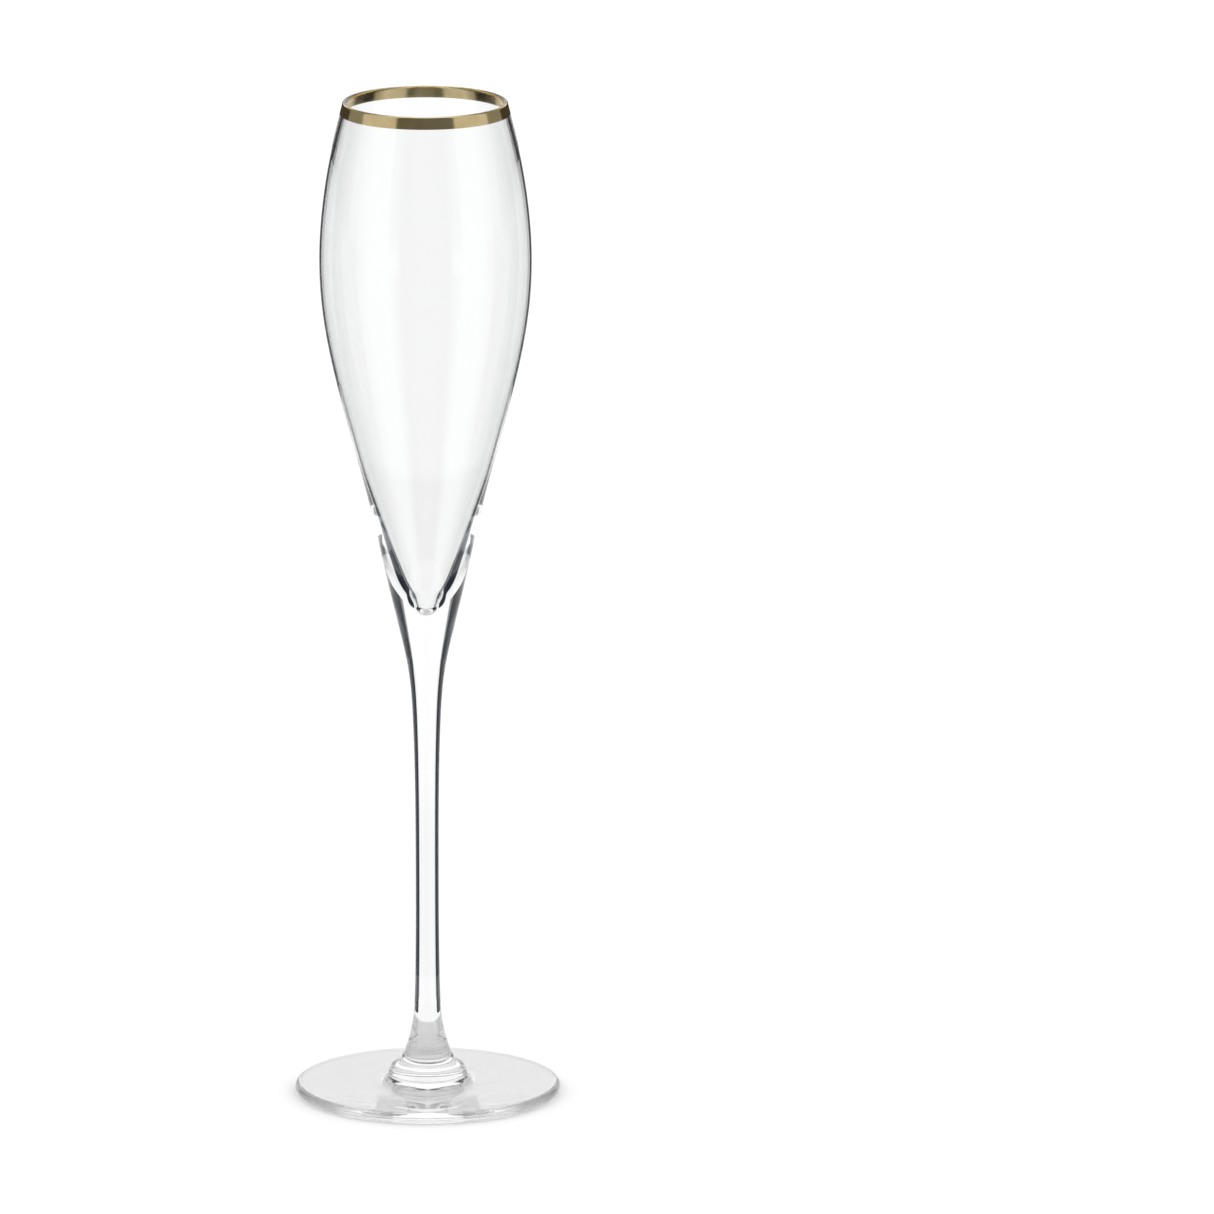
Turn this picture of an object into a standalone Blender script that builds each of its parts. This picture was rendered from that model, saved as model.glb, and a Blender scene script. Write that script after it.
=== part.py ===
"""Champagne flute with a gold band at its rim.

Four turned pieces on one vertical axis: the blown bowl with its solid base, the drawn stem, the
pressed foot, and the gold band on the outside of the bowl's rim. Metres, +Z up; the origin is the
middle of the ring that the foot stands on.
"""

import math

import bpy

# Driving dimensions
TOTAL_HEIGHT = 0.2700
RIM_RADIUS = 0.02175
BELLY_RADIUS = 0.02815
BELLY_HEIGHT = 0.2260
WAIST_RADIUS = 0.0031
FOOT_RADIUS = 0.0355
FOOT_EDGE = 0.0030            # thickness of the foot at its rounded edge
CAVITY_TIP_HEIGHT = 0.1320    # lowest point inside the bowl
RIM_WALL = 0.00115
BELLY_WALL = 0.00060
BAND_HEIGHT = 0.0026
BAND_THICKNESS = 0.00012
BAND_GAP = 0.00005            # leaves the band clear of the glass that carries it

STEM_TOP = 0.1160             # where the stem was drawn on to the bowl
STEM_BOTTOM = 0.0185          # where the stem was fused to the foot
JOINT_GAP = 0.0003

# Underside of the foot: a flat ring to stand on, and a shallow dome inside it
DOME_RADIUS = 0.0186
DOME_RISE = 0.0006

TURN_STEPS = 48
STEPS_PER_SPAN = 3
LIP_STEPS = 6
EDGE_STEPS = 8
DOME_STEPS = 4
SHORTEST_STEP = 0.0004        # keeps slices of a curve from starting with a sliver
MERGE_DISTANCE = 0.00001

# Stations are (radius, height), from the top down.
OUTLINE = (
    (RIM_RADIUS, TOTAL_HEIGHT),
    (0.02475, 0.2575),
    (0.02725, 0.2420),
    (BELLY_RADIUS, BELLY_HEIGHT),
    (0.02670, 0.2090),
    (0.02305, 0.1915),
    (0.01840, 0.1740),
    (0.01385, 0.1560),
    (0.01030, 0.1400),
    (0.00735, 0.1275),
    (0.00490, 0.1160),
    (0.00370, 0.1020),
    (0.00325, 0.0860),
    (WAIST_RADIUS, 0.0650),
    (0.00315, 0.0430),
    (0.00340, 0.0280),
    (0.00420, 0.0185),
)

# Wall thickness (thickness, height), down to where the cavity narrows to its tip
WALL = (
    (0.00100, 0.2550),
    (0.00066, 0.2370),
    (BELLY_WALL, BELLY_HEIGHT),
    (0.00064, 0.2090),
    (0.00075, 0.1930),
    (0.00090, 0.1800),
    (0.00105, 0.1690),
)

# Inside of the bowl's base, down to the rounded tip on the axis
CAVITY_BASE = (
    (0.01370, 0.1615),
    (0.01155, 0.1550),
    (0.00950, 0.1490),
    (0.00745, 0.1435),
    (0.00550, 0.1390),
    (0.00395, 0.1360),
    (0.00270, 0.1338),
    (0.00000, CAVITY_TIP_HEIGHT),
)

# Top of the foot, from the stem's joint out to the edge
FOOT_TOP = (
    (0.00435, STEM_BOTTOM - JOINT_GAP),
    (0.00465, 0.0164),
    (0.00520, 0.0142),
    (0.00600, 0.0121),
    (0.00690, 0.0099),
    (0.00780, 0.0087),
    (0.00880, 0.0080),
    (0.00960, 0.0074),
    (0.01015, 0.0066),
    (0.01045, 0.0056),
    (0.01080, 0.0046),
    (0.01150, 0.0040),
    (0.01260, 0.0037),
    (0.01600, 0.0035),
    (0.02150, 0.0034),
    (0.02800, 0.0032),
    (FOOT_RADIUS - 0.5 * FOOT_EDGE, FOOT_EDGE),
)


def unit_tangents(points):
    """One tangent for each point, weighted by how near its neighbours are."""
    spans = [math.dist(a, b) for a, b in zip(points, points[1:])]
    slopes = [
        ((b[0] - a[0]) / span, (b[1] - a[1]) / span)
        for a, b, span in zip(points, points[1:], spans)
    ]
    tangents = [slopes[0]]
    for index in range(1, len(points) - 1):
        before = spans[index - 1]
        after = spans[index]
        tangents.append(tuple(
            (slopes[index - 1][axis] * after + slopes[index][axis] * before) / (before + after)
            for axis in (0, 1)
        ))
    tangents.append(slopes[-1])
    return tangents


def smooth_curve(points, steps):
    """Cubic Hermite curve through every station."""
    tangents = unit_tangents(points)
    curve = []
    for index in range(len(points) - 1):
        start, end = points[index], points[index + 1]
        span = math.dist(start, end)
        for step in range(steps):
            t = step / steps
            from_start = 2 * t**3 - 3 * t**2 + 1
            from_end = 1 - from_start
            leave = (t**3 - 2 * t**2 + t) * span
            arrive = (t**3 - t**2) * span
            curve.append(tuple(
                from_start * start[axis] + from_end * end[axis]
                + leave * tangents[index][axis] + arrive * tangents[index + 1][axis]
                for axis in (0, 1)
            ))
    curve.append(points[-1])
    return curve


def value_at(curve, height):
    """The first number of a curve of (value, height) points, at a height."""
    for (upper, top), (lower, bottom) in zip(curve, curve[1:]):
        if bottom <= height <= top:
            share = (top - height) / (top - bottom)
            return upper + (lower - upper) * share
    return curve[0][0] if height > curve[0][1] else curve[-1][0]


def between(curve, top, bottom):
    """The part of a curve from one height down to another."""
    inside = [point for point in curve if bottom + SHORTEST_STEP < point[1] < top - SHORTEST_STEP]
    return [(value_at(curve, top), top)] + inside + [(value_at(curve, bottom), bottom)]


def lip_arc(inner, outer):
    """Half circle over the top of the wall, from its inner side to its outer side."""
    middle = (inner[0] + outer[0]) / 2
    radius = (outer[0] - inner[0]) / 2
    return [
        (
            middle - radius * math.cos(math.pi * step / LIP_STEPS),
            outer[1] + radius * math.sin(math.pi * step / LIP_STEPS),
        )
        for step in range(1, LIP_STEPS)
    ]


def bowl_profile(outline):
    """Up the inside from the tip, over the lip, down the outside and in along the joint."""
    lip_bottom = TOTAL_HEIGHT - RIM_WALL / 2
    joint_height = STEM_TOP + JOINT_GAP
    outer_lip = (value_at(outline, lip_bottom), lip_bottom)
    inner_lip = (outer_lip[0] - RIM_WALL, lip_bottom)
    wall_inside = [(value_at(outline, height) - thickness, height) for thickness, height in WALL]
    inside = smooth_curve([inner_lip, *wall_inside, *CAVITY_BASE], STEPS_PER_SPAN)
    outside = between(outline, lip_bottom, joint_height)
    return inside[::-1] + lip_arc(inner_lip, outer_lip) + outside + [(0.0, joint_height)]


def stem_profile(outline):
    sides = between(outline, STEM_TOP, STEM_BOTTOM)
    return [(0.0, STEM_TOP)] + sides + [(0.0, STEM_BOTTOM)]


def foot_profile():
    """Over the top, round the edge, in along the standing ring and up into the dome."""
    top = smooth_curve(FOOT_TOP, STEPS_PER_SPAN - 1)
    edge_radius = FOOT_EDGE / 2
    edge_centre = FOOT_RADIUS - edge_radius
    edge = [
        (
            edge_centre + edge_radius * math.sin(math.pi * step / EDGE_STEPS),
            edge_radius + edge_radius * math.cos(math.pi * step / EDGE_STEPS),
        )
        for step in range(1, EDGE_STEPS + 1)
    ]
    dome = [
        (DOME_RADIUS * (1 - step / DOME_STEPS), DOME_RISE * (1 - (1 - step / DOME_STEPS) ** 2) ** 2)
        for step in range(DOME_STEPS + 1)
    ]
    return [(0.0, STEM_BOTTOM - JOINT_GAP)] + top + edge + dome


def band_profile(outline):
    """A closed section that follows the outside of the rim."""
    top = TOTAL_HEIGHT - RIM_WALL / 2
    heights = [top - BAND_HEIGHT * share for share in (0.0, 0.5, 1.0)]
    skin = BAND_GAP + BAND_THICKNESS
    outside = [(value_at(outline, height) + skin, height) for height in heights]
    inside = [(value_at(outline, height) + BAND_GAP, height) for height in heights]
    return outside + inside[::-1] + outside[:1]


def make_material(name, colour, roughness, metallic, transmission=0.0):
    material = bpy.data.materials.new(name)
    material.use_nodes = True
    shader = material.node_tree.nodes["Principled BSDF"]
    shader.inputs["Base Color"].default_value = (*colour, 1.0)
    shader.inputs["Roughness"].default_value = roughness
    shader.inputs["Metallic"].default_value = metallic
    shader.inputs["Transmission Weight"].default_value = transmission
    return material


def turned(name, profile, material, collection):
    """Spin an (x, z) profile about the Z axis."""
    mesh = bpy.data.meshes.new(name)
    vertices = [(radius, 0.0, height) for radius, height in profile]
    edges = [(index, index + 1) for index in range(len(vertices) - 1)]
    mesh.from_pydata(vertices, edges, [])
    mesh.materials.append(material)
    piece = bpy.data.objects.new(name, mesh)
    collection.objects.link(piece)
    screw = piece.modifiers.new("Turn", "SCREW")
    screw.axis = "Z"
    screw.steps = TURN_STEPS
    screw.render_steps = TURN_STEPS
    screw.use_merge_vertices = True
    screw.merge_threshold = MERGE_DISTANCE
    screw.use_smooth_shade = True
    return piece


def main():
    for leftover in list(bpy.data.objects):
        bpy.data.objects.remove(leftover, do_unlink=True)
    collection = bpy.data.collections.new("champagne_flute")
    bpy.context.scene.collection.children.link(collection)

    glass = (0.92, 0.94, 0.96)
    gold = (0.78, 0.60, 0.28)
    outline = smooth_curve(OUTLINE, STEPS_PER_SPAN)
    turned("bowl", bowl_profile(outline), make_material("bowl_glass", glass, 0.02, 0.0, 1.0), collection)
    turned("stem", stem_profile(outline), make_material("stem_glass", glass, 0.02, 0.0, 1.0), collection)
    turned("foot", foot_profile(), make_material("foot_glass", glass, 0.02, 0.0, 1.0), collection)
    turned("gold_band", band_profile(outline), make_material("fired_gold", gold, 0.22, 1.0), collection)


main()
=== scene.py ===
"""Looks for the champagne flute: fire-polished glass and a fired gold band, in a small white studio.

The bowl, the stem, the foot and the gold are turned on one vertical axis from smooth profiles.
Metres, +Z up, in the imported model's own frame.
"""

import math

import bpy
import numpy as np
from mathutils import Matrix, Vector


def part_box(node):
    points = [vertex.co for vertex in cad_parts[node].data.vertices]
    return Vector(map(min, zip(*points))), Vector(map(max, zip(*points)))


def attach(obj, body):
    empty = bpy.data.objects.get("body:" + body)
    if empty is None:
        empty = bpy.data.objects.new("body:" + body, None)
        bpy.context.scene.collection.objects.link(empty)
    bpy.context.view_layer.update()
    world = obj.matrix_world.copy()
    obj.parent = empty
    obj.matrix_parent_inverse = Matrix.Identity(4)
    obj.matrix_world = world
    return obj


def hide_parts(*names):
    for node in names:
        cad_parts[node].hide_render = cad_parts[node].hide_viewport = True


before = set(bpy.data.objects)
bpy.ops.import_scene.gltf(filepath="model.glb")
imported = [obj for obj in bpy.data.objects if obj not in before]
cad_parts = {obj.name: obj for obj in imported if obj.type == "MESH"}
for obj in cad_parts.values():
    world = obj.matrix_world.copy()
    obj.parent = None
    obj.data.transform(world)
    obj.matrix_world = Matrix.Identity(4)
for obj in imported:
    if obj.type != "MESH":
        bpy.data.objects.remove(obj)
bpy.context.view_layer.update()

# Sizes from the frame, in metres
FLUTE_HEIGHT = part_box("bowl")[1].z
BELLY_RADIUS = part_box("bowl")[1].x
FOOT_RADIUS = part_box("foot")[1].x
BOWL_JOINT = (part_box("bowl")[0].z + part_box("stem")[1].z) / 2
FOOT_JOINT = (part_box("stem")[0].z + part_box("foot")[1].z) / 2
BAND_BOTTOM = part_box("gold_band")[0].z

# Sizes that the frame doesn't state
RIM_RADIUS = 0.02175
RIM_WALL = 0.00115
BELLY_HEIGHT = 0.2260
BELLY_WALL = 0.00060
WAIST_RADIUS = 0.00310
CAVITY_TIP_HEIGHT = 0.1320    # lowest point inside the bowl
FOOT_EDGE = 0.0030            # thickness of the foot at its rounded edge
DOME_RADIUS = 0.0186          # the shallow dome under the foot
DOME_RISE = 0.0006
BAND_SKIN = 0.00003           # how far the gold stands proud of the glass
BAND_BOND = 0.00002           # how far it reaches into the glass, as bonded gold has no air under it

SEGMENTS = 256
FINE_STEP = 0.0005            # spacing of rings along a profile
LIP_STEPS = 16
SHOULDER_STEP = 12            # where on the lip the gold begins
EDGE_STEPS = 20
DOME_STEPS = 16
ON_AXIS = 0.0000001           # a smaller radius is a point on the axis

# Outside of the whole glass, down from the rim to the foot's edge: (radius, height)
OUTLINE = (
    (RIM_RADIUS, FLUTE_HEIGHT),
    (0.02475, 0.2575),
    (0.02725, 0.2420),
    (BELLY_RADIUS, BELLY_HEIGHT),
    (0.02670, 0.2090),
    (0.02305, 0.1915),
    (0.01840, 0.1740),
    (0.01385, 0.1560),
    (0.01030, 0.1400),
    (0.00735, 0.1275),
    (0.00490, 0.1160),
    (0.00370, 0.1020),
    (0.00325, 0.0860),
    (WAIST_RADIUS, 0.0650),
    (0.00315, 0.0430),
    (0.00340, 0.0280),
    (0.00420, 0.0185),
    (0.00465, 0.0164),
    (0.00520, 0.0142),
    (0.00600, 0.0121),
    (0.00690, 0.0099),
    (0.00780, 0.0087),
    (0.00880, 0.0080),
    (0.00960, 0.0074),
    (0.01015, 0.0066),
    (0.01045, 0.0056),
    (0.01080, 0.0046),
    (0.01150, 0.0040),
    (0.01260, 0.0037),
    (0.01600, 0.0035),
    (0.02150, 0.0034),
    (0.02800, 0.0032),
    (FOOT_RADIUS - FOOT_EDGE / 2, FOOT_EDGE),
)

# Wall thickness down to where the cavity narrows: (thickness, height)
WALL = (
    (0.00100, 0.2550),
    (0.00066, 0.2370),
    (BELLY_WALL, BELLY_HEIGHT),
    (0.00064, 0.2090),
    (0.00075, 0.1930),
    (0.00090, 0.1800),
    (0.00105, 0.1690),
)

# Inside of the bowl's base, up from the tip on the axis: (radius, height)
CAVITY_BASE = (
    (0.00000, CAVITY_TIP_HEIGHT),
    (0.00270, 0.1338),
    (0.00395, 0.1360),
    (0.00550, 0.1390),
    (0.00745, 0.1435),
    (0.00950, 0.1490),
    (0.01155, 0.1550),
    (0.01370, 0.1615),
)

# Glass and gold
GLASS_IOR = 1.52
CLEAR_GLASS = (0.988, 0.991, 0.990)
# Painted shade: the stem's glass is drawn darker towards its bottom, blending to this colour
STEM_SHADE_GLASS = (0.966, 0.970, 0.970)
STEM_SHADE_BELOW = 0.080            # painted shade: the stem's glass is at its darkest from this height down
GLASS_WAVES = 0.000004        # depth of the waves that hot work leaves
PRESSED_WAVES = 0.000001      # the pressed foot is smoother
DARK_GOLD = (0.80, 0.63, 0.30)
BRIGHT_GOLD = (0.92, 0.76, 0.42)
GOLD_ROUGHNESS = (0.05, 0.16)
BRUSH_STRENGTH = 0.35
BRUSH_DEPTH = 0.000004
NOISE_RANGE = (0.3, 0.7)      # noise values seldom lie outside this

# Floor and camera
FLOOR_RADIUS = 30.0
TABLE_RADIUS = 0.085          # the patch of floor that shows through the glass
FLOOR_DROP = 0.00005          # keeps the floor just clear of the foot's flat ring
FLOOR_SHADE = 0.91
CAMERA_DISTANCE = 3.915
CAMERA_HEIGHT = 1.045
CAMERA_OFFSET = 0.048         # the flute stands to the left of the picture's middle
CAMERA_PITCH = math.radians(13.113)
CAMERA_LENS = 448.3
FAR_CLIP = 200.0

# Round light tent. Its panels are (degrees, colour), from straight behind the flute, at 0, round
# either side to the camera, at 180.
TENT_RADIUS = 3.0
ROOM_WHITE = 1.15
WHITE = (1.08, 1.08, 1.08)
PALE = (0.85, 0.85, 0.86)
GREY = (0.80, 0.80, 0.81)
DULL = (0.66, 0.66, 0.67)
SHADED = (0.40, 0.40, 0.40)
DIM = (0.25, 0.25, 0.25)
SOFTBOX = (0.62, 0.62, 0.64)
ROOM = (0.14, 0.14, 0.14)
OVERHEAD = (0.9, 0.9, 0.9)
UPPER_PANELS = (
    (0, WHITE), (31, WHITE), (33, DIM), (85, DIM),
    (87, SOFTBOX), (139, SOFTBOX), (141, ROOM), (180, ROOM),
)
LOWER_PANELS = (
    (0, WHITE), (26, WHITE), (34, PALE), (55, GREY), (75, DULL), (92, SHADED), (104, SHADED),
    (113, SOFTBOX), (147, SOFTBOX), (153, ROOM), (180, ROOM),
)

# Heights in the tent, as shares of its radius above or below its middle
TABLETOP_BLEND = (-0.055, -0.005)   # from the lower panels to the upper ones
OVERHEAD_BLEND = (0.80, 0.94)
DUSK_BLEND = (-0.36, -0.22)

# Low down, behind the stem, the tent is 5% darker, and this fades along the dusk's blend
UNLIT = (0.0, 0.0, 0.0)
NO_DUSK = (0.0, 0.0, 0.0)
DUSK = (0.05, 0.05, 0.05)
DUSK_FADE = ((0.0, DUSK), (0.73, DUSK), (0.9, NO_DUSK))

# Upright cards in mirrored pairs: the floor plan's (x, y) of the right one's near edge and far edge
FLAG_EDGE = (0.042, 0.067)
FLAG_END = (0.110, 0.005)
FLAG_HEIGHTS = (-0.40, 0.60)
BOWL_CARD_EDGE = (0.0357, 0.0570)
BOWL_CARD_END = (0.0560, 0.0600)
BOWL_CARD_HEIGHTS = (0.172, 0.262)
STEM_CARD_EDGE = (0.0276, 0.0441)
STEM_CARD_END = (0.0560, 0.0030)
STEM_CARD_HEIGHTS = (-0.010, 0.100)
RIM_CARD_EDGE = (0.028, 0.045)
RIM_CARD_END = (0.075, 0.030)
RIM_CARD_HEIGHTS = (0.250, 0.275)
BLACK = (0.004, 0.006, 0.014)
CHARCOAL = (0.06, 0.06, 0.07)
BROWN = (0.06, 0.05, 0.04)


def natural_spline(points, spacing):
    """Samples a natural cubic spline through (radius, height) points, about spacing apart."""
    knots = np.array(points, float)
    lengths = np.linalg.norm(np.diff(knots, axis=0), axis=1)
    count = len(knots)
    system = np.eye(count)
    target = np.zeros((count, 2))
    for row in range(1, count - 1):
        before, after = lengths[row - 1], lengths[row]
        system[row, row - 1:row + 2] = (before, 2 * (before + after), after)
        target[row] = 6 * (
            (knots[row + 1] - knots[row]) / after - (knots[row] - knots[row - 1]) / before
        )
    bend = np.linalg.solve(system, target)
    curve = []
    for row in range(count - 1):
        span = lengths[row]
        steps = max(2, math.ceil(span / spacing))
        for t in np.arange(steps) / steps:
            left, right = (1 - t) * span, t * span
            curve.append(
                bend[row] * left**3 / (6 * span) + bend[row + 1] * right**3 / (6 * span)
                + (knots[row] / span - bend[row] * span / 6) * left
                + (knots[row + 1] / span - bend[row + 1] * span / 6) * right
            )
    curve.append(knots[-1])
    return np.array(curve)


def normals_of(curve):
    """Unit normals of an (x, z) curve that runs down its outer side: to the left of its direction."""
    along = np.gradient(curve, axis=0)
    along /= np.linalg.norm(along, axis=1)[:, None]
    return np.stack([-along[:, 1], along[:, 0]], axis=1)


def at_height(curve, column, height):
    """Reads a column of rows (radius, height, ...) at a height, on a curve that only descends."""
    return float(np.interp(height, curve[::-1, 1], curve[::-1, column]))


def cut(curve, top, bottom):
    """The rows of a descending curve between two heights, with new rows at the cuts."""
    ends = [
        [at_height(curve, column, height) for column in range(curve.shape[1])]
        for height in (top, bottom)
    ]
    slack = FINE_STEP / 10    # keeps a cut from lying next to a row
    inside = curve[(curve[:, 1] < top - slack) & (curve[:, 1] > bottom + slack)]
    return np.vstack([ends[0], inside, ends[1]])


def with_normals(curve):
    """Rows of radius, height and the normal's two parts."""
    return np.hstack([curve, normals_of(curve)])


def lip(outer_row):
    """Round lip in the plane of the wall, from the inner side over the top to the outer side."""
    point, normal = outer_row[:2], outer_row[2:]
    upwards = np.array([-normal[1], normal[0]])
    centre = point - normal * RIM_WALL / 2
    rows = []
    for step in range(LIP_STEPS + 1):
        angle = math.pi * (1 - step / LIP_STEPS)
        direction = math.cos(angle) * normal + math.sin(angle) * upwards
        rows.append([*(centre + direction * RIM_WALL / 2), *direction])
    return np.array(rows)


def glass_outline():
    """The outside of the whole glass, which bowl, stem and foot each take a stretch of."""
    return with_normals(natural_spline(OUTLINE, FINE_STEP))


def lip_height(outline):
    """Where the outside of the wall turns into the lip, so that the lip's top is the flute's height."""
    lean = at_height(outline, 3, FLUTE_HEIGHT)
    return FLUTE_HEIGHT - RIM_WALL / 2 * (1 - lean)


def bowl_rows(outline):
    """From the cavity's tip up the inside, over the lip and down the outside to the joint."""
    outside = cut(outline, lip_height(outline), BOWL_JOINT)
    rounded = lip(outside[0])
    wall = [(at_height(outline, 0, height) - thickness, height) for thickness, height in WALL]
    mirrored = [(-radius, height) for radius, height in CAVITY_BASE[:0:-1]]
    stations = [*mirrored, *CAVITY_BASE, *wall[::-1], tuple(rounded[0, :2])]
    inside = with_normals(natural_spline(stations, FINE_STEP))
    tip = int(np.argmin(np.abs(inside[:len(inside) // 2, 0])))
    inside = inside[tip:-1]
    inside[0] = (0.0, CAVITY_TIP_HEIGHT, 0.0, 1.0)
    return np.vstack([inside, rounded[:-1], outside])


def stem_rows(outline):
    return cut(outline, BOWL_JOINT, FOOT_JOINT)


def foot_rows(outline):
    """Over the top of the foot, round its edge, along the standing ring and up into the dome."""
    top = cut(outline, FOOT_JOINT, FOOT_EDGE)[:-1]
    half = FOOT_EDGE / 2
    rows = []
    for step in range(EDGE_STEPS + 1):
        angle = math.pi * step / EDGE_STEPS
        across, up = math.sin(angle), math.cos(angle)
        rows.append([FOOT_RADIUS - half + half * across, half + half * up, across, up])
    dome = []
    for step in range(DOME_STEPS + 1):
        share = 1 - step / DOME_STEPS
        slope = 4 * share * (1 - share**2) * DOME_RISE / DOME_RADIUS
        tilt = math.atan(slope)
        height = DOME_RISE * (1 - share**2) ** 2
        dome.append([DOME_RADIUS * share, height, -math.sin(tilt), -math.cos(tilt)])
    return np.vstack([top, rows, dome])


def band_rows(outline):
    """The gold film: a closed section that follows the glass, from the lip's shoulder down."""
    side = cut(outline, lip_height(outline), BAND_BOTTOM)
    shoulder = lip(side[0])[SHOULDER_STEP:-1]
    rows = np.vstack([shoulder, side])
    skin = rows.copy()
    skin[:, :2] += rows[:, 2:] * BAND_SKIN
    bond = rows[::-1].copy()
    bond[:, :2] -= bond[:, 2:] * BAND_BOND
    bond[:, 2:] *= -1
    return np.vstack([skin, bond, skin[:1]])


def turned(name, rows, materials, body="root", cap_first=False, cap_last=False):
    """Turns rows of radius, height and normal about Z. A cap closes an end with the last material."""
    points, rings = [], []
    angles = [2 * math.pi * index / SEGMENTS for index in range(SEGMENTS)]
    for radius, height in rows[:, :2]:
        if radius < ON_AXIS:
            rings.append([len(points)] * SEGMENTS)
            points.append((0.0, 0.0, height))
        else:
            rings.append(list(range(len(points), len(points) + SEGMENTS)))
            points.extend(
                (radius * math.cos(angle), radius * math.sin(angle), height) for angle in angles
            )
    faces, loops, slots = [], [], []

    def loop_normal(row, index):
        across, up = rows[row, 2:]
        return (across * math.cos(angles[index]), across * math.sin(angles[index]), up)

    for row in range(len(rings) - 1):
        for index in range(SEGMENTS):
            after = (index + 1) % SEGMENTS
            corners = [
                (rings[row][index], row, index), (rings[row + 1][index], row + 1, index),
                (rings[row + 1][after], row + 1, after), (rings[row][after], row, after),
            ]
            kept = [
                corner for before, corner in zip([corners[-1], *corners], corners)
                if corner[0] != before[0]
            ]
            faces.append([point for point, _, _ in kept])
            loops.extend(loop_normal(at_row, at_index) for _, at_row, at_index in kept)
            slots.append(0)
    for wanted, ring, up in ((cap_first, rings[0], 1.0), (cap_last, rings[-1], -1.0)):
        if wanted:
            centre = len(points)
            points.append((0.0, 0.0, points[ring[0]][2]))
            for index in range(SEGMENTS):
                pair = [ring[index], ring[(index + 1) % SEGMENTS]]
                faces.append([centre, *pair] if up > 0 else [centre, *pair[::-1]])
                loops.extend([(0.0, 0.0, up)] * 3)
                slots.append(len(materials) - 1)
    mesh = bpy.data.meshes.new(name)
    mesh.from_pydata(points, [], faces)
    for material in materials:
        mesh.materials.append(material)
    mesh.polygons.foreach_set("material_index", slots)
    mesh.polygons.foreach_set("use_smooth", [True] * len(faces))
    mesh.update()
    mesh.normals_split_custom_set(loops)
    piece = bpy.data.objects.new(name, mesh)
    bpy.context.scene.collection.objects.link(piece)
    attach(piece, body)
    return piece


def new_material(name):
    """A material with its nodes, its links and its shader."""
    material = bpy.data.materials.new(name)
    material.use_nodes = True
    nodes = material.node_tree.nodes
    return material, nodes, material.node_tree.links, nodes["Principled BSDF"]


def mapped_noise(nodes, links, scale, detail, stretch=(1.0, 1.0, 1.0)):
    """Noise on the piece's own coordinates, in metres, stretched along its axes."""
    place = nodes.new("ShaderNodeTexCoord")
    mapping = nodes.new("ShaderNodeMapping")
    mapping.inputs["Scale"].default_value = stretch
    noise = nodes.new("ShaderNodeTexNoise")
    noise.inputs["Scale"].default_value = scale
    noise.inputs["Detail"].default_value = detail
    links.new(place.outputs["Object"], mapping.inputs["Vector"])
    links.new(mapping.outputs["Vector"], noise.inputs["Vector"])
    return noise.outputs["Fac"]


def mapped_range(nodes, links, source, from_range, to_range):
    """Maps one range of a value to another, and holds it at the ends."""
    node = nodes.new("ShaderNodeMapRange")
    node.inputs["From Min"].default_value, node.inputs["From Max"].default_value = from_range
    node.inputs["To Min"].default_value, node.inputs["To Max"].default_value = to_range
    links.new(source, node.inputs["Value"])
    return node.outputs["Result"]


def blend(nodes, links, factor, first, second):
    """Mixes two colours, each a socket or three numbers."""
    mix = nodes.new("ShaderNodeMix")
    mix.data_type = "RGBA"
    links.new(factor, mix.inputs[0])
    for socket, colour in ((mix.inputs[6], first), (mix.inputs[7], second)):
        if isinstance(colour, tuple):
            socket.default_value = (*colour, 1.0)
        else:
            links.new(colour, socket)
    return mix.outputs[2]


def object_place(nodes, links):
    """The X, Y and Z of a point in its object's own coordinates."""
    place = nodes.new("ShaderNodeTexCoord")
    split = nodes.new("ShaderNodeSeparateXYZ")
    links.new(place.outputs["Object"], split.inputs["Vector"])
    return split.outputs["X"], split.outputs["Y"], split.outputs["Z"]


def bump(nodes, links, shader, height, strength, distance):
    """Relief in the shader's normal, at most distance deep, in metres."""
    node = nodes.new("ShaderNodeBump")
    node.inputs["Strength"].default_value = strength
    node.inputs["Distance"].default_value = distance
    links.new(height, node.inputs["Height"])
    links.new(node.outputs["Normal"], shader.inputs["Normal"])


def crystal(name, wave_depth, wave_scale, stretch=(1.0, 1.0, 1.0), painted_shade_heights=None):
    """Clear fire-polished glass with the faint unevenness of hot-worked glass.

    Its colour can darken from one height to another: painted shade that dims the stem's glass towards
    its bottom.
    """
    material, nodes, links, shader = new_material(name)
    shader.inputs["Base Color"].default_value = (*CLEAR_GLASS, 1.0)
    # Painted shade: the glass colour darkens between the two heights
    if painted_shade_heights:
        height = object_place(nodes, links)[2]
        stem_shade = mapped_range(nodes, links, height, painted_shade_heights, (0.0, 1.0))
        links.new(blend(nodes, links, stem_shade, CLEAR_GLASS, STEM_SHADE_GLASS), shader.inputs["Base Color"])
    shader.inputs["Transmission Weight"].default_value = 1.0
    shader.inputs["IOR"].default_value = GLASS_IOR
    shader.inputs["Roughness"].default_value = 0.0
    waves = mapped_noise(nodes, links, wave_scale, detail=1.0, stretch=stretch)
    bump(nodes, links, shader, waves, strength=1.0, distance=wave_depth)
    return material


def fused_joint():
    """Where two hot-fused pieces meet inside the glass there is nothing to see."""
    material, _, _, shader = new_material("fused_joint")
    shader.inputs["Alpha"].default_value = 0.0
    return material


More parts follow.
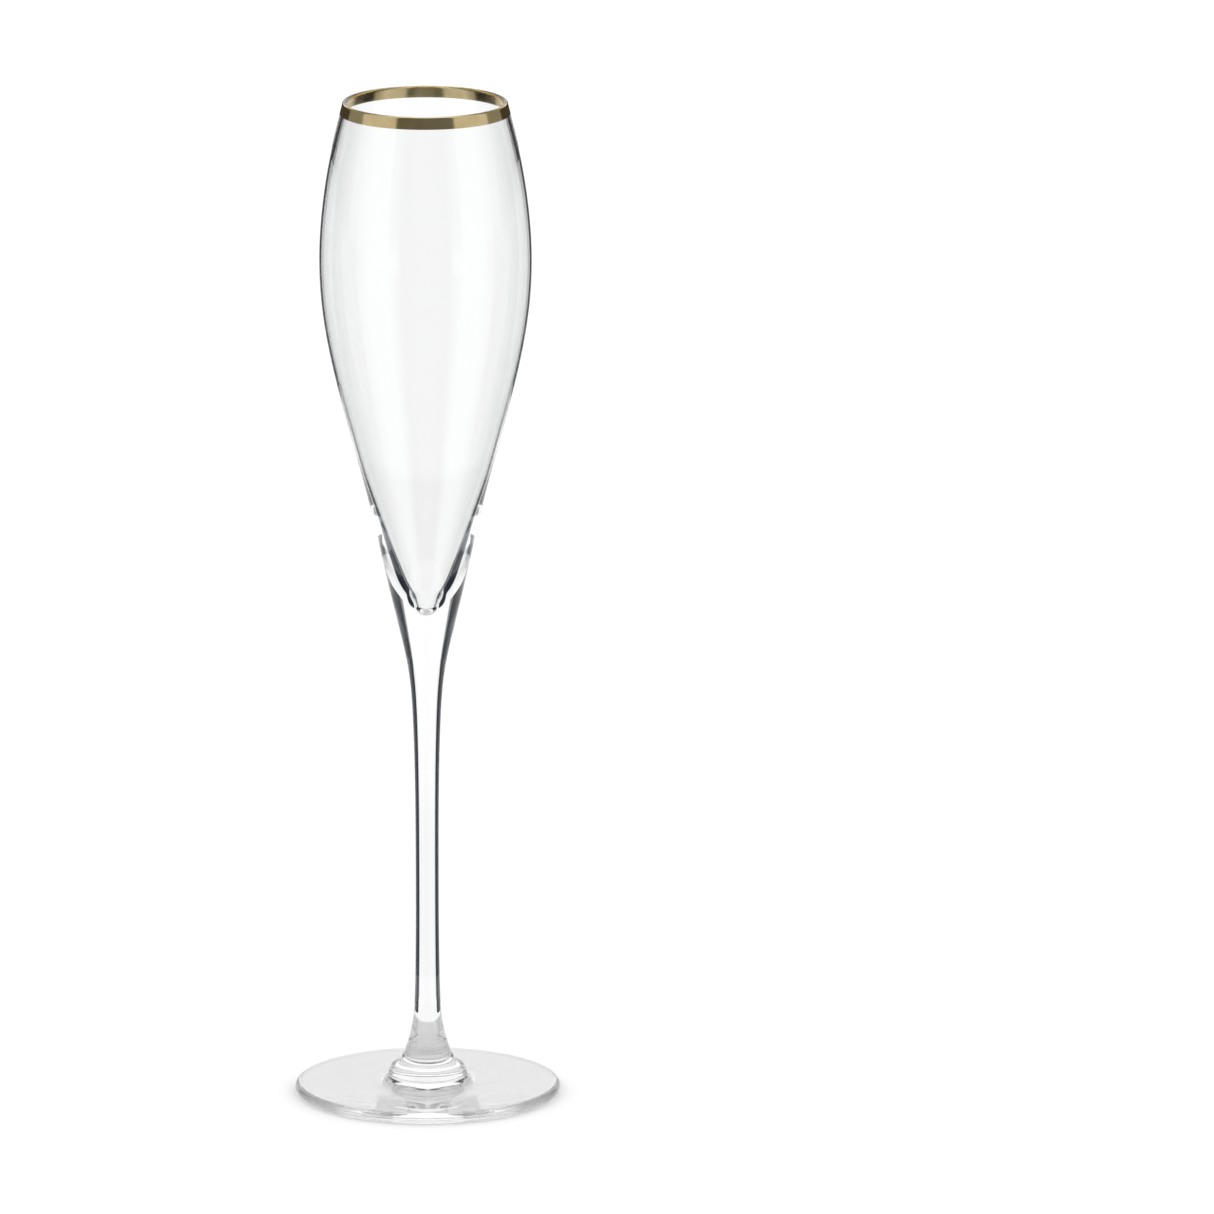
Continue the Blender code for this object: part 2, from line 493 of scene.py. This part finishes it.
def fired_gold():
    """Bright gold with fine horizontal lines from the turning brush."""
    material, nodes, links, shader = new_material("fired_gold")
    shader.inputs["Metallic"].default_value = 1.0
    lines = mapped_noise(nodes, links, scale=60.0, detail=3.0, stretch=(1.0, 1.0, 140.0))
    cloud = mapped_noise(nodes, links, scale=220.0, detail=2.0)
    share = mapped_range(nodes, links, cloud, NOISE_RANGE, (0.0, 1.0))
    links.new(blend(nodes, links, share, DARK_GOLD, BRIGHT_GOLD), shader.inputs["Base Color"])
    roughness = mapped_range(nodes, links, lines, NOISE_RANGE, GOLD_ROUGHNESS)
    links.new(roughness, shader.inputs["Roughness"])
    bump(nodes, links, shader, lines, BRUSH_STRENGTH, BRUSH_DEPTH)
    return material


def make_flute():
    """The four pieces, each in its node's place; a cap is the hidden face of a fused joint."""
    outline = glass_outline()
    joint = fused_joint()
    bowl_glass = crystal("bowl_glass", GLASS_WAVES, wave_scale=60.0, stretch=(1.0, 1.0, 0.25))
    stem_glass = crystal(
        "stem_glass", GLASS_WAVES, wave_scale=300.0, stretch=(1.0, 1.0, 0.08),
        # painted shade: the stem's glass is drawn darker from the bowl's joint down
        painted_shade_heights=(BOWL_JOINT, STEM_SHADE_BELOW),
    )
    foot_glass = crystal("foot_glass", PRESSED_WAVES, wave_scale=70.0)
    pieces = (
        ("flute_bowl", bowl_rows(outline), [bowl_glass, joint], "bowl", "bowl_glass", False, True),
        ("flute_stem", stem_rows(outline), [stem_glass, joint], "stem", "stem_glass", True, True),
        ("flute_foot", foot_rows(outline), [foot_glass, joint], "foot", "foot_glass", True, False),
        ("rim_gold", band_rows(outline), [fired_gold()], "gold_band", "fired_gold", False, False),
    )
    for name, rows, materials, node, slot, cap_first, cap_last in pieces:
        piece = turned(name, rows, materials, cap_first=cap_first, cap_last=cap_last)
        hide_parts(node)


def make_camera():
    """A long lens that looks down on the flute by about 13 degrees, from about 4 m away."""
    data = bpy.data.cameras.new("camera")
    data.lens = CAMERA_LENS
    data.clip_end = FAR_CLIP
    camera = bpy.data.objects.new("camera", data)
    camera.location = (CAMERA_OFFSET, -CAMERA_DISTANCE, CAMERA_HEIGHT)
    camera.rotation_euler = (math.pi / 2 - CAMERA_PITCH, 0.0, 0.0)
    bpy.context.scene.collection.objects.link(camera)
    bpy.context.scene.camera = camera
    return camera


def make_floor():
    """A pale floor in two rings: only the inner one is seen through the glass."""
    material, _, _, shader = new_material("studio_floor")
    shader.inputs["Base Color"].default_value = (FLOOR_SHADE, FLOOR_SHADE, FLOOR_SHADE, 1.0)
    shader.inputs["Roughness"].default_value = 1.0
    shader.inputs["Specular IOR Level"].default_value = 0.0
    angles = [2 * math.pi * index / SEGMENTS for index in range(SEGMENTS)]
    rings = (("floor_near", 0.0, TABLE_RADIUS), ("floor_far", TABLE_RADIUS, FLOOR_RADIUS))
    for name, inner, outer in rings:
        points = [
            (radius * math.cos(angle), radius * math.sin(angle), -FLOOR_DROP)
            for radius in (inner, outer) for angle in angles
        ]
        faces = []
        for index in range(SEGMENTS):
            after = (index + 1) % SEGMENTS
            faces.append((index, SEGMENTS + index, SEGMENTS + after, after))
        mesh = bpy.data.meshes.new(name)
        mesh.from_pydata(points, [], faces)
        mesh.materials.append(material)
        floor = bpy.data.objects.new(name, mesh)
        bpy.context.scene.collection.objects.link(floor)
        floor.visible_glossy = False
        floor.visible_transmission = inner == 0.0


def make_turntable(camera):
    """The lights stay with the camera when it walks round the flute, as in a product studio."""
    turntable = bpy.data.objects.new("turntable", None)
    bpy.context.scene.collection.objects.link(turntable)
    track = turntable.constraints.new("LOCKED_TRACK")
    track.target = camera
    track.track_axis = "TRACK_NEGATIVE_Y"
    track.lock_axis = "LOCK_Z"
    return turntable


def ramp(nodes, stops):
    """A colour ramp through (position, colour) stops, from the first to the last."""
    node = nodes.new("ShaderNodeValToRGB")
    elements = node.color_ramp.elements
    elements[0].position, elements[1].position = stops[0][0], stops[-1][0]
    elements[0].color, elements[1].color = (*stops[0][1], 1.0), (*stops[-1][1], 1.0)
    for position, colour in stops[1:-1]:
        elements.new(position).color = (*colour, 1.0)
    return node


def glowing(name, paint, straight_only=False):
    """A glowing panel for glass and gold to see. To light that carries on to the floor it's plain white.

    A panel for straight views only isn't there for light that has mirrored off the glass.
    """
    material = bpy.data.materials.new(name)
    material.use_nodes = True
    nodes, links = material.node_tree.nodes, material.node_tree.links
    nodes.clear()
    colour = paint(nodes, links)
    path = nodes.new("ShaderNodeLightPath")
    room_white = (ROOM_WHITE, ROOM_WHITE, ROOM_WHITE)
    seen = blend(nodes, links, path.outputs["Diffuse Depth"], colour, room_white)
    glow = nodes.new("ShaderNodeEmission")
    links.new(seen, glow.inputs["Color"])
    surface = glow.outputs[0]
    if straight_only:
        clear = nodes.new("ShaderNodeBsdfTransparent")
        choice = nodes.new("ShaderNodeMixShader")
        links.new(path.outputs["Glossy Depth"], choice.inputs[0])
        links.new(surface, choice.inputs[1])
        links.new(clear.outputs[0], choice.inputs[2])
        surface = choice.outputs[0]
    output = nodes.new("ShaderNodeOutputMaterial")
    links.new(surface, output.inputs["Surface"])
    material.cycles.emission_sampling = "NONE"
    return material


def stand_panel(panel, turntable, material):
    """Stands a panel on the turntable, out of the camera's sight and casting no shadow."""
    panel.parent = turntable
    panel.data.materials.append(material)
    panel.visible_camera = False
    panel.visible_diffuse = False
    panel.visible_shadow = False


def make_light_tent(turntable):
    """A round tent of white panels, softboxes and dark room that only glass and gold see."""

    def paint(nodes, links):
        across, along, up = object_place(nodes, links)
        side = nodes.new("ShaderNodeMath")
        side.operation = "ABSOLUTE"
        links.new(across, side.inputs[0])
        turn = nodes.new("ShaderNodeMath")
        turn.operation = "ARCTAN2"
        links.new(side.outputs[0], turn.inputs[0])
        links.new(along, turn.inputs[1])
        around = mapped_range(nodes, links, turn.outputs[0], (0.0, math.pi), (0.0, 1.0))

        def panels(stops):
            colours = ramp(nodes, [(degrees / 180, colour) for degrees, colour in stops])
            links.new(around, colours.inputs["Fac"])
            return colours.outputs["Color"]

        height = mapped_range(nodes, links, up, (-TENT_RADIUS, TENT_RADIUS), (-1.0, 1.0))
        tabletop = mapped_range(nodes, links, height, TABLETOP_BLEND, (1.0, 0.0))
        walls = blend(nodes, links, tabletop, panels(UPPER_PANELS), panels(LOWER_PANELS))
        dusk = ramp(nodes, DUSK_FADE)
        links.new(mapped_range(nodes, links, height, DUSK_BLEND, (0.0, 1.0)), dusk.inputs["Fac"])
        walls = blend(nodes, links, dusk.outputs["Color"], walls, UNLIT)
        overhead = mapped_range(nodes, links, height, OVERHEAD_BLEND, (0.0, 1.0))
        return blend(nodes, links, overhead, walls, OVERHEAD)

    bpy.ops.mesh.primitive_uv_sphere_add(segments=64, ring_count=32, radius=TENT_RADIUS)
    tent = bpy.context.object
    tent.name = "light_tent"
    tent.location = (0.0, 0.0, FLUTE_HEIGHT / 2)
    stand_panel(tent, turntable, glowing("tent_panels", paint))


def stand_cards(turntable, name, edge, end, heights, colour, straight_only=False):
    """Two upright cards, mirror images left and right, between two points of the floor plan."""
    cards = []
    for side, suffix in ((1, "right"), (-1, "left")):
        corners = [(side * x, y, z) for z in heights for x, y in (edge, end)]
        mesh = bpy.data.meshes.new(name)
        mesh.from_pydata(corners, [], [(0, 1, 3, 2)])
        card = bpy.data.objects.new(f"{name}_{suffix}", mesh)
        bpy.context.scene.collection.objects.link(card)
        stand_panel(card, turntable, glowing(name, lambda nodes, links: colour, straight_only))
        cards.append(card)
    return cards


def make_flags(turntable):
    """Dark cards that draw the dark edges of the glass and the dark stretches of the gold."""
    flags = stand_cards(turntable, "flag", FLAG_EDGE, FLAG_END, FLAG_HEIGHTS, BLACK)
    flags += stand_cards(
        turntable, "stem_card", STEM_CARD_EDGE, STEM_CARD_END, STEM_CARD_HEIGHTS, BLACK,
        straight_only=True,
    )
    for flag in flags:
        flag.visible_glossy = False
    stand_cards(turntable, "bowl_card", BOWL_CARD_EDGE, BOWL_CARD_END, BOWL_CARD_HEIGHTS, CHARCOAL)
    for card in stand_cards(turntable, "rim_card", RIM_CARD_EDGE, RIM_CARD_END, RIM_CARD_HEIGHTS, BROWN):
        card.visible_transmission = False


def make_room_light():
    """The plain white room that lights the floor and fills the background."""
    world = bpy.data.worlds.new("studio")
    world.use_nodes = True
    background = world.node_tree.nodes["Background"]
    background.inputs["Color"].default_value = (1.0, 1.0, 1.0, 1.0)
    background.inputs["Strength"].default_value = ROOM_WHITE
    bpy.context.scene.world = world


def set_light_paths():
    """Light crosses many glass surfaces in a flute, so its paths are long."""
    scene = bpy.context.scene
    scene.view_settings.view_transform = "Standard"
    scene.cycles.max_bounces = 40
    scene.cycles.transmission_bounces = 40
    scene.cycles.glossy_bounces = 24
    scene.cycles.transparent_max_bounces = 32
    scene.cycles.blur_glossy = 0.5


make_flute()
make_floor()
the_turntable = make_turntable(make_camera())
make_light_tent(the_turntable)
make_flags(the_turntable)
make_room_light()
set_light_paths()
